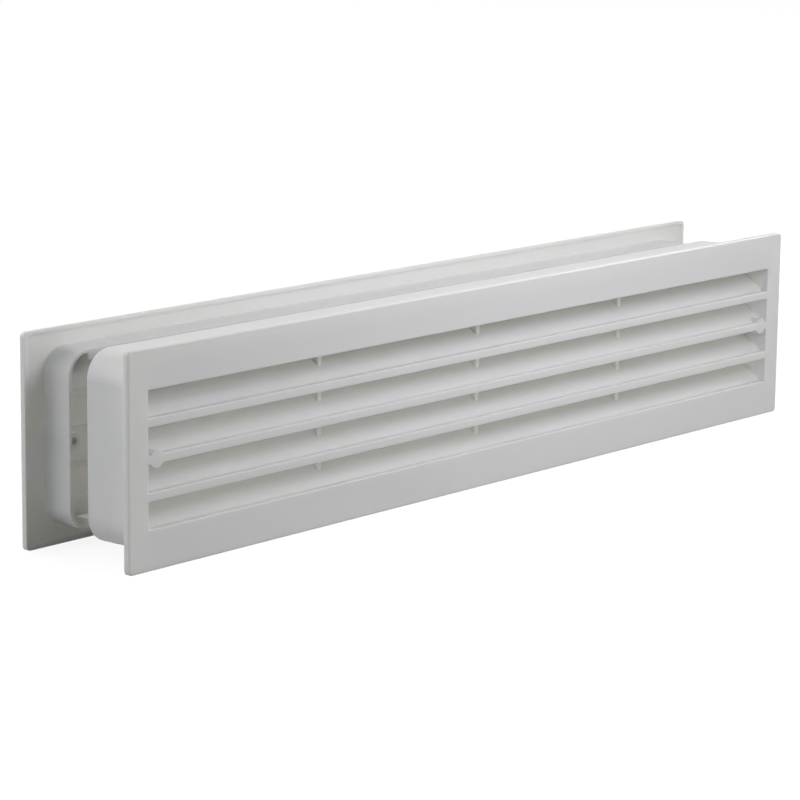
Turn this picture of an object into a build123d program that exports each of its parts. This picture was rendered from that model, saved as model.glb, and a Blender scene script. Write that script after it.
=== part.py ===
from build123d import *
import math
import os

# Two-part door ventilation grille, sizes in millimetres.
# X runs along the grille, Y through the door with the front face toward -Y, Z up.
# The origin lies under the middle of the grille as it stands on its flange edges.

# Flange, alike on both halves
FLANGE_LENGTH = 455.0
FLANGE_HEIGHT = 91.0
FLANGE_THICKNESS = 3.0
FLANGE_CORNER_RADIUS = 2.0
FRONT_EDGE_ROUND = 0.8
LIP_WIDTH = 1.6
LIP_HEIGHT = 0.8

# Front collar, which is the outer one
FRONT_COLLAR_INSET_X = 9.6
FRONT_COLLAR_INSET_Z = 5.3
FRONT_COLLAR_DEPTH = 30.5
FRONT_COLLAR_RADIUS = 12.0
COLLAR_WALL = 1.4
ROOT_ROUND = 0.5

# Rear collar, which slides inside the front one
SLIDE_CLEARANCE_X = 0.4
SLIDE_CLEARANCE_Z = 1.2
REAR_COLLAR_DEPTH = 14.0
PAD_WIDTH = 12.0
PAD_HEIGHT = 2.9
PAD_LENGTH = 8.0
PAD_FROM_COLLAR_END = 10.8

# Louvres, with the inset from the flange's long edges to the outermost slots
SLOT_COUNT = 4
SLOT_FIELD_INSET = 17.0
BAND_HEIGHT = 3.65
SLOT_EDGE_ROUND = 0.35
BLADE_ANGLE = 38.0
BLADE_THICKNESS = 1.6
BLADE_REACH = 11.5

# Upright ribs that carry the blades
RIB_COUNT = 3
RIB_PITCH = 105.5
RIB_THICKNESS = 2.4
RIB_SETBACK = 6.3

# Screw bosses at both ends of the middle band
BOSS_DIAMETER = 7.6
BOSS_INSET = 15.7
FRONT_BOSS_DEPTH = 15.0
REAR_BOSS_DEPTH = 12.0
PILOT_HOLE_DIAMETER = 2.5
PILOT_HOLE_DEPTH = 13.0
SCREW_HOLE_DIAMETER = 3.4
SCREW_HEAD_DIAMETER = 6.4
SCREW_HEAD_ANGLE = 90.0

# How far apart the halves stand, from door-side face to door-side face
DOOR_GAP = 57.0

# Overlap that lets joined forms share volume
BITE = 0.4

# How near an edge has to lie to a place to be picked there
NEAR = 0.01

SLOT_FIELD = FLANGE_HEIGHT - 2 * SLOT_FIELD_INSET
SLOT_HEIGHT = (SLOT_FIELD - (SLOT_COUNT - 1) * BAND_HEIGHT) / SLOT_COUNT
PITCH = SLOT_HEIGHT + BAND_HEIGHT
SLOPE = math.tan(math.radians(BLADE_ANGLE))
FRONT_COLLAR = (
    FLANGE_LENGTH - 2 * FRONT_COLLAR_INSET_X,
    FLANGE_HEIGHT - 2 * FRONT_COLLAR_INSET_Z,
    FRONT_COLLAR_RADIUS,
)
REAR_COLLAR = (
    FRONT_COLLAR[0] - 2 * (COLLAR_WALL + SLIDE_CLEARANCE_X),
    FRONT_COLLAR[1] - 2 * (COLLAR_WALL + SLIDE_CLEARANCE_Z),
    FRONT_COLLAR_RADIUS - COLLAR_WALL - SLIDE_CLEARANCE_X,
)


def slab(length, height, radius, start, end):
    """Rounded rectangle seen from the front, solid from depth start to depth end."""
    face = Plane.XZ.offset(-start) * RectangleRounded(length, height, radius)
    return extrude(face, amount=-(end - start))


def slot_floors():
    """Height of each slot's lower edge above the middle of the flange."""
    return [row * PITCH - SLOT_FIELD / 2 for row in range(SLOT_COUNT)]


def rod(diameter, x, start, end):
    """Cylinder along the depth, at mid height."""
    return Pos(x, (start + end) / 2, 0) * Rot(90, 0, 0) * Cylinder(diameter / 2, end - start)


def flange(collar):
    """Plate with rounded front edges and a shallow recess inside a lip on its door side."""
    plate = slab(FLANGE_LENGTH, FLANGE_HEIGHT, FLANGE_CORNER_RADIUS, 0, FLANGE_THICKNESS)
    plate = fillet(plate.faces().sort_by(Axis.Y)[0].edges(), FRONT_EDGE_ROUND)
    floor = FLANGE_THICKNESS - LIP_HEIGHT
    recess = slab(
        FLANGE_LENGTH - 2 * LIP_WIDTH,
        FLANGE_HEIGHT - 2 * LIP_WIDTH,
        FLANGE_CORNER_RADIUS - LIP_WIDTH / 2,
        floor,
        FLANGE_THICKNESS,
    )
    return plate - (recess - slab(*collar, floor, FLANGE_THICKNESS))


def inside(collar):
    """Size of the space that a collar's wall leaves open."""
    length, height, radius = collar
    return length - 2 * COLLAR_WALL, height - 2 * COLLAR_WALL, radius - COLLAR_WALL


def collar_wall(collar, depth):
    """Rounded tube that stands behind the flange."""
    floor = FLANGE_THICKNESS - LIP_HEIGHT
    end = FLANGE_THICKNESS + depth
    return slab(*collar, floor - BITE, end) - slab(*inside(collar), floor - BITE, end)


def slots(collar):
    """Openings through the flange, up to the collar's wall or to its rounded corners."""
    length, height, radius = inside(collar)
    past_corner = max(0, SLOT_FIELD / 2 - (height / 2 - radius))
    length -= 2 * (radius - math.sqrt(radius**2 - past_corner**2))
    opening = Box(length, FLANGE_THICKNESS + 2 * BITE, SLOT_HEIGHT)
    middle = FLANGE_THICKNESS / 2
    return [Pos(0, middle, floor + SLOT_HEIGHT / 2) * opening for floor in slot_floors()]


def blades(length):
    """Sloping blades, each rising from a slot's lower edge towards the door."""
    start = FLANGE_THICKNESS - BITE
    end = FLANGE_THICKNESS + BLADE_REACH
    drop = BLADE_THICKNESS / math.cos(math.radians(BLADE_ANGLE))
    rise = BLADE_REACH * SLOPE
    result = []
    for floor in slot_floors():
        outline = Polyline(
            (start, floor - BITE * SLOPE),
            (end, floor + rise),
            (end, floor + rise - drop),
            (start, floor - BITE * SLOPE - drop),
            close=True,
        )
        profile = Plane.YZ * make_face(outline)
        result.append(extrude(profile, amount=length / 2 + BITE, both=True))
    return result


def ribs(height):
    """Upright webs that tie the blades to the top and bottom of the collar."""
    start = FLANGE_THICKNESS + RIB_SETBACK
    end = FLANGE_THICKNESS + BLADE_REACH
    web = Box(RIB_THICKNESS, end - start, height + 2 * BITE)
    first = -(RIB_COUNT - 1) * RIB_PITCH / 2
    return [Pos(first + i * RIB_PITCH, (start + end) / 2, 0) * web for i in range(RIB_COUNT)]


def boss_places():
    """Distance of each screw boss from the middle of the flange."""
    reach = FLANGE_LENGTH / 2 - BOSS_INSET
    return [-reach, reach]


def louvres(collar):
    """Blades and ribs, cut to end just inside the collar's wall."""
    length, height, radius = inside(collar)
    grown = (length + 2 * BITE, height + 2 * BITE, radius + BITE)
    room = slab(*grown, 0, FLANGE_THICKNESS + BLADE_REACH)
    return [form & room for form in blades(length) + ribs(height)]


def half(collar, collar_depth, boss_depth):
    """One moulding with its outer face at depth zero and its mid height at zero."""
    body = flange(collar) + collar_wall(collar, collar_depth)
    body -= slots(collar)
    body += louvres(collar)
    body += [rod(BOSS_DIAMETER, x, 0, FLANGE_THICKNESS + boss_depth) for x in boss_places()]
    face = body.faces().filter_by(Plane.XZ).sort_by(Axis.Y)[0]
    rims = [edge for wire in face.inner_wires() for edge in wire.edges()]
    return fillet([edge for edge in rims if edge.geom_type == GeomType.LINE], SLOT_EDGE_ROUND)


def round_collar_root(body, collar):
    """Moulding radius where the collar leaves the recessed door side of the flange."""
    floor = FLANGE_THICKNESS - LIP_HEIGHT
    length, height, _ = collar
    ring = []
    for edge in body.edges().filter_by_position(Axis.Y, floor - NEAR, floor + NEAR):
        middle = edge @ 0.5
        along = abs(abs(middle.Z) - height / 2) < NEAR
        across = abs(abs(middle.X) - length / 2) < NEAR
        arc = edge.geom_type == GeomType.CIRCLE and edge.radius > FLANGE_CORNER_RADIUS
        if along or across or arc:
            ring.append(edge)
    return fillet(ring, ROOT_ROUND)


def front_half():
    """Half with the deep collar and blind pilot holes in its bosses."""
    body = half(FRONT_COLLAR, FRONT_COLLAR_DEPTH, FRONT_BOSS_DEPTH)
    end = FLANGE_THICKNESS + FRONT_BOSS_DEPTH
    body -= [rod(PILOT_HOLE_DIAMETER, x, end - PILOT_HOLE_DEPTH, end + BITE) for x in boss_places()]
    return round_collar_root(body, FRONT_COLLAR)


def screw_hole(x):
    """Through hole for a countersunk screw, open at the outer face."""
    end = FLANGE_THICKNESS + REAR_BOSS_DEPTH
    depth = (SCREW_HEAD_DIAMETER - SCREW_HOLE_DIAMETER) / 2
    depth /= math.tan(math.radians(SCREW_HEAD_ANGLE / 2))
    sink = Cone(SCREW_HEAD_DIAMETER / 2, SCREW_HOLE_DIAMETER / 2, depth)
    return rod(SCREW_HOLE_DIAMETER, x, -BITE, end + BITE) + Pos(x, depth / 2, 0) * Rot(-90, 0, 0) * sink


def pads():
    """Thick places inside the rim of the rear collar, top and bottom at both ends."""
    length, height, _ = inside(REAR_COLLAR)
    end = FLANGE_THICKNESS + REAR_COLLAR_DEPTH
    x = REAR_COLLAR[0] / 2 - PAD_FROM_COLLAR_END - PAD_WIDTH / 2
    z = height / 2 - (PAD_HEIGHT - BITE) / 2
    pad = Box(PAD_WIDTH, PAD_LENGTH, PAD_HEIGHT + BITE)
    return [Pos(i * x, end - PAD_LENGTH / 2, j * z) * pad for i in (-1, 1) for j in (-1, 1)]


def rear_half():
    """Half with the shallow collar, inner pads and countersunk screw holes."""
    body = half(REAR_COLLAR, REAR_COLLAR_DEPTH, REAR_BOSS_DEPTH) + pads()
    body -= [screw_hole(x) for x in boss_places()]
    return round_collar_root(body, REAR_COLLAR)


def main():
    """Place both halves as they stand and write one file for each."""
    outer_face = FLANGE_THICKNESS + DOOR_GAP / 2
    parts = {
        "front_grille": Pos(0, -outer_face, FLANGE_HEIGHT / 2) * front_half(),
        "rear_grille": Pos(0, outer_face, FLANGE_HEIGHT / 2) * Rot(180, 0, 0) * rear_half(),
    }
    os.makedirs("parts", exist_ok=True)
    for name, part in parts.items():
        export_step(part, f"parts/{name}.step")


main()
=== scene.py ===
import math

import bpy
from mathutils import Matrix, Vector


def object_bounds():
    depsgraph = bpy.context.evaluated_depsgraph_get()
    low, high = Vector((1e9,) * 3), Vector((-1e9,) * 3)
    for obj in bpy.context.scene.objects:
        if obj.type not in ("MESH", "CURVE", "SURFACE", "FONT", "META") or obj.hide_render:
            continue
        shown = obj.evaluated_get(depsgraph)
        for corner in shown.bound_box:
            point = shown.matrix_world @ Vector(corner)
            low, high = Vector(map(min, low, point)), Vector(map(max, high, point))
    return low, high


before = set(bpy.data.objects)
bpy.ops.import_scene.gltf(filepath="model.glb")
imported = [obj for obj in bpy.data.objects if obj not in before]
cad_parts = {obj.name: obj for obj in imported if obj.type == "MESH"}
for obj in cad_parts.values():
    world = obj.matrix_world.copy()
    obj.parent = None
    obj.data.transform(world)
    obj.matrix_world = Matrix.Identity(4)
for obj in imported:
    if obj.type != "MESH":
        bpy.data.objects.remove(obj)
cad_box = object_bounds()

# Camera, solved from straight edges in the photograph. Lengths here and below are in metres
CAMERA_PLACE = (-1.0642, -0.8911, 0.3141)
CAMERA_HEADING = 49.324
CAMERA_PITCH = -11.408
CAMERA_ROLL = 0.663
CAMERA_NEAR = 0.05
LENS_MM = 139.79
SENSOR_MM = 36.0

# Satin white plastic that lets a little light through
PLASTIC_COLOUR = (0.88, 0.88, 0.865, 1.0)
PLASTIC_SHADE = (0.86, 0.86, 0.835, 1.0)
PLASTIC_ROUGHNESS = (0.3, 0.4)
PLASTIC_IOR = 1.5
SCATTER_WEIGHT = 1.0
SCATTER_RADIUS = (1.0, 1.0, 0.9)
SCATTER_DEPTH = 0.0015
EDGE_ROUND = 0.0003
EDGE_SAMPLES = 4

# Its fine grain, the flow waves of the moulding and the patches of its sheen
GRAIN_SIZE = 0.0006
GRAIN_HEIGHT = 0.00001
GRAIN_DETAIL = 2.0
FLOW_SIZE = 0.06
FLOW_HEIGHT = 0.00015
FLOW_DETAIL = 3.0
SHEEN_SIZE = 0.015
SHEEN_DETAIL = 2.0
NOISE_RANGE = (0.3, 0.7)

# Floor and backdrop. The floor glows more strongly away from the grille
FLOOR_SIZE = 12.0
FLOOR_COLOUR = (0.3, 0.3, 0.3, 1.0)
GLOW_DISTANCE = (0.4, 1.6)
GLOW_STRENGTH = (0.86, 0.98)
SKY_COLOUR = (1.0, 1.0, 0.95, 1.0)
SKY_STRENGTH = 0.02
BACKDROP_COLOUR = (1.0, 1.0, 1.0, 1.0)
BACKDROP_STRENGTH = 1.0

# Lamps, each turned towards the middle of the grille
LAMPS = {
    "key": {"place": (0.3, -2.0, 0.42), "size": 1.0, "watts": 9.9, "colour": (1.0, 0.99, 0.94)},
    "near": {"place": (0.05, -0.35, 0.35), "size": 0.25, "watts": 0.81, "colour": (0.87, 0.88, 1.0)},
    "right": {"place": (1.8, -0.2, 1.0), "size": 1.0, "watts": 18.5, "colour": (1.0, 0.97, 0.95)},
    "left": {"place": (-1.9, 0.1, 0.6), "size": 1.6, "watts": 8.2, "colour": (0.86, 0.88, 1.0)},
    "rear": {"place": (-1.4, 1.1, 0.9), "size": 1.6, "watts": 11.3, "colour": (0.99, 1.0, 0.97)},
    "back": {"place": (0.0, 1.8, 0.65), "size": 1.6, "watts": 20.0, "colour": (1.0, 0.99, 0.93)},
}


def new_material(name):
    """Material that holds only its output node, with that node's surface socket."""
    material = bpy.data.materials.new(name)
    material.use_nodes = True
    nodes, links = material.node_tree.nodes, material.node_tree.links
    nodes.clear()
    surface = nodes.new("ShaderNodeOutputMaterial").inputs["Surface"]
    return material, nodes, links, surface


def noise(nodes, links, place, size, detail):
    """Noise whose features are about size metres across."""
    texture = nodes.new("ShaderNodeTexNoise")
    texture.inputs["Scale"].default_value = 1.0 / size
    texture.inputs["Detail"].default_value = detail
    links.new(place, texture.inputs["Vector"])
    return texture.outputs["Fac"]


def spread(nodes, links, value, source, target):
    """Maps a value from the source range to the target range."""
    mapping = nodes.new("ShaderNodeMapRange")
    mapping.inputs["From Min"].default_value = source[0]
    mapping.inputs["From Max"].default_value = source[1]
    mapping.inputs["To Min"].default_value = target[0]
    mapping.inputs["To Max"].default_value = target[1]
    links.new(value, mapping.inputs["Value"])
    return mapping.outputs["Result"]


def relief(nodes, links, pattern, height, normal):
    """Normal that a pattern of the given height makes on a surface."""
    bump = nodes.new("ShaderNodeBump")
    bump.inputs["Distance"].default_value = height
    links.new(pattern, bump.inputs["Height"])
    links.new(normal, bump.inputs["Normal"])
    return bump.outputs["Normal"]


def softened_edges(nodes):
    """Normal that rounds the sharp edges slightly."""
    rounding = nodes.new("ShaderNodeBevel")
    rounding.samples = EDGE_SAMPLES
    rounding.inputs["Radius"].default_value = EDGE_ROUND
    return rounding.outputs["Normal"]


def plastic(name):
    """Moulded white plastic: fine grain, faint flow waves, uneven sheen and tone."""
    material, nodes, links, surface = new_material(name)
    shader = nodes.new("ShaderNodeBsdfPrincipled")
    links.new(shader.outputs["BSDF"], surface)
    shader.inputs["IOR"].default_value = PLASTIC_IOR
    shader.inputs["Subsurface Weight"].default_value = SCATTER_WEIGHT
    shader.inputs["Subsurface Radius"].default_value = SCATTER_RADIUS
    shader.inputs["Subsurface Scale"].default_value = SCATTER_DEPTH

    place = nodes.new("ShaderNodeTexCoord").outputs["Object"]
    flow = noise(nodes, links, place, FLOW_SIZE, FLOW_DETAIL)
    patches = noise(nodes, links, place, SHEEN_SIZE, SHEEN_DETAIL)
    grain = noise(nodes, links, place, GRAIN_SIZE, GRAIN_DETAIL)

    tone = nodes.new("ShaderNodeMix")
    tone.data_type = "RGBA"
    tone.inputs["A"].default_value = PLASTIC_COLOUR
    tone.inputs["B"].default_value = PLASTIC_SHADE
    links.new(flow, tone.inputs["Factor"])
    links.new(tone.outputs["Result"], shader.inputs["Base Color"])
    sheen = spread(nodes, links, patches, NOISE_RANGE, PLASTIC_ROUGHNESS)
    links.new(sheen, shader.inputs["Roughness"])

    waves = relief(nodes, links, flow, FLOW_HEIGHT, softened_edges(nodes))
    links.new(relief(nodes, links, grain, GRAIN_HEIGHT, waves), shader.inputs["Normal"])
    return material


def dress(node):
    """Gives a CAD node its plastic."""
    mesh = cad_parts[node].data
    mesh.materials.clear()
    mesh.materials.append(plastic(node))


def add_camera():
    """Camera at the photograph's viewing angle."""
    camera = bpy.data.objects.new("camera", bpy.data.cameras.new("camera"))
    camera.data.lens = LENS_MM
    camera.data.sensor_width = SENSOR_MM
    camera.data.clip_start = CAMERA_NEAR
    turn = Matrix.Rotation(-math.radians(CAMERA_HEADING), 4, "Z")
    tip = Matrix.Rotation(math.radians(90 + CAMERA_PITCH), 4, "X")
    roll = Matrix.Rotation(math.radians(CAMERA_ROLL), 4, "Z")
    camera.matrix_world = Matrix.Translation(CAMERA_PLACE) @ turn @ tip @ roll
    bpy.context.collection.objects.link(camera)
    bpy.context.scene.camera = camera


def add_lamps():
    """Soft square lamps around the grille, which the camera doesn't see."""
    low, high = cad_box
    middle = (Vector(low) + Vector(high)) / 2
    for name, lamp in LAMPS.items():
        light = bpy.data.lights.new(name, "AREA")
        light.size = lamp["size"]
        light.energy = lamp["watts"]
        light.color = lamp["colour"]
        holder = bpy.data.objects.new(name, light)
        holder.visible_camera = False
        place = Vector(lamp["place"])
        aim = (place - middle).to_track_quat("Z", "Y").to_matrix().to_4x4()
        holder.matrix_world = Matrix.Translation(place) @ aim
        bpy.context.collection.objects.link(holder)


def viewing_ray(nodes, links):
    """One for rays that show the backdrop: from the camera, by reflection or through glass."""
    path = nodes.new("ShaderNodeLightPath")
    total = path.outputs["Is Camera Ray"]
    for ray in ("Is Glossy Ray", "Is Transmission Ray"):
        either = nodes.new("ShaderNodeMath")
        either.operation = "MAXIMUM"
        links.new(total, either.inputs[0])
        links.new(path.outputs[ray], either.inputs[1])
        total = either.outputs["Value"]
    return total


def seen_apart(nodes, links, lighting, seen):
    """Shader that lights the grille as one thing and is seen as another."""
    mix = nodes.new("ShaderNodeMixShader")
    links.new(viewing_ray(nodes, links), mix.inputs["Fac"])
    links.new(lighting, mix.inputs[1])
    links.new(seen, mix.inputs[2])
    return mix.outputs["Shader"]


def background(nodes, colour, strength):
    """Even background of one colour."""
    shader = nodes.new("ShaderNodeBackground")
    shader.inputs["Color"].default_value = colour
    shader.inputs["Strength"].default_value = strength
    return shader.outputs["Background"]


def add_world():
    """White backdrop, and a faint even sky that lights the grille."""
    world = bpy.data.worlds.new("studio")
    bpy.context.scene.world = world
    world.use_nodes = True
    nodes, links = world.node_tree.nodes, world.node_tree.links
    nodes.clear()
    sky = background(nodes, SKY_COLOUR, SKY_STRENGTH)
    white = background(nodes, BACKDROP_COLOUR, BACKDROP_STRENGTH)
    surface = nodes.new("ShaderNodeOutputWorld").inputs["Surface"]
    links.new(seen_apart(nodes, links, sky, white), surface)


def floor_material():
    """Matt grey that glows until it reads as white, and keeps the grille's shadow."""
    material, nodes, links, surface = new_material("floor")
    matt = nodes.new("ShaderNodeBsdfDiffuse")
    matt.inputs["Color"].default_value = FLOOR_COLOUR
    distance = nodes.new("ShaderNodeVectorMath")
    distance.operation = "LENGTH"
    links.new(nodes.new("ShaderNodeTexCoord").outputs["Object"], distance.inputs[0])
    strength = spread(nodes, links, distance.outputs["Value"], GLOW_DISTANCE, GLOW_STRENGTH)
    glow = nodes.new("ShaderNodeEmission")
    links.new(strength, glow.inputs["Strength"])
    glowing = nodes.new("ShaderNodeAddShader")
    links.new(matt.outputs["BSDF"], glowing.inputs[0])
    links.new(glow.outputs["Emission"], glowing.inputs[1])
    links.new(seen_apart(nodes, links, matt.outputs["BSDF"], glowing.outputs["Shader"]), surface)
    return material


def add_floor():
    """Plain square floor under the grille."""
    half = FLOOR_SIZE / 2
    mesh = bpy.data.meshes.new("floor")
    corners = [(-half, -half, 0), (half, -half, 0), (half, half, 0), (-half, half, 0)]
    mesh.from_pydata(corners, [], [(0, 1, 2, 3)])
    mesh.materials.append(floor_material())
    floor = bpy.data.objects.new("floor", mesh)
    bpy.context.collection.objects.link(floor)


add_camera()
add_world()
add_lamps()
add_floor()
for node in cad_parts:
    dress(node)

bpy.context.scene.view_settings.view_transform = "Standard"
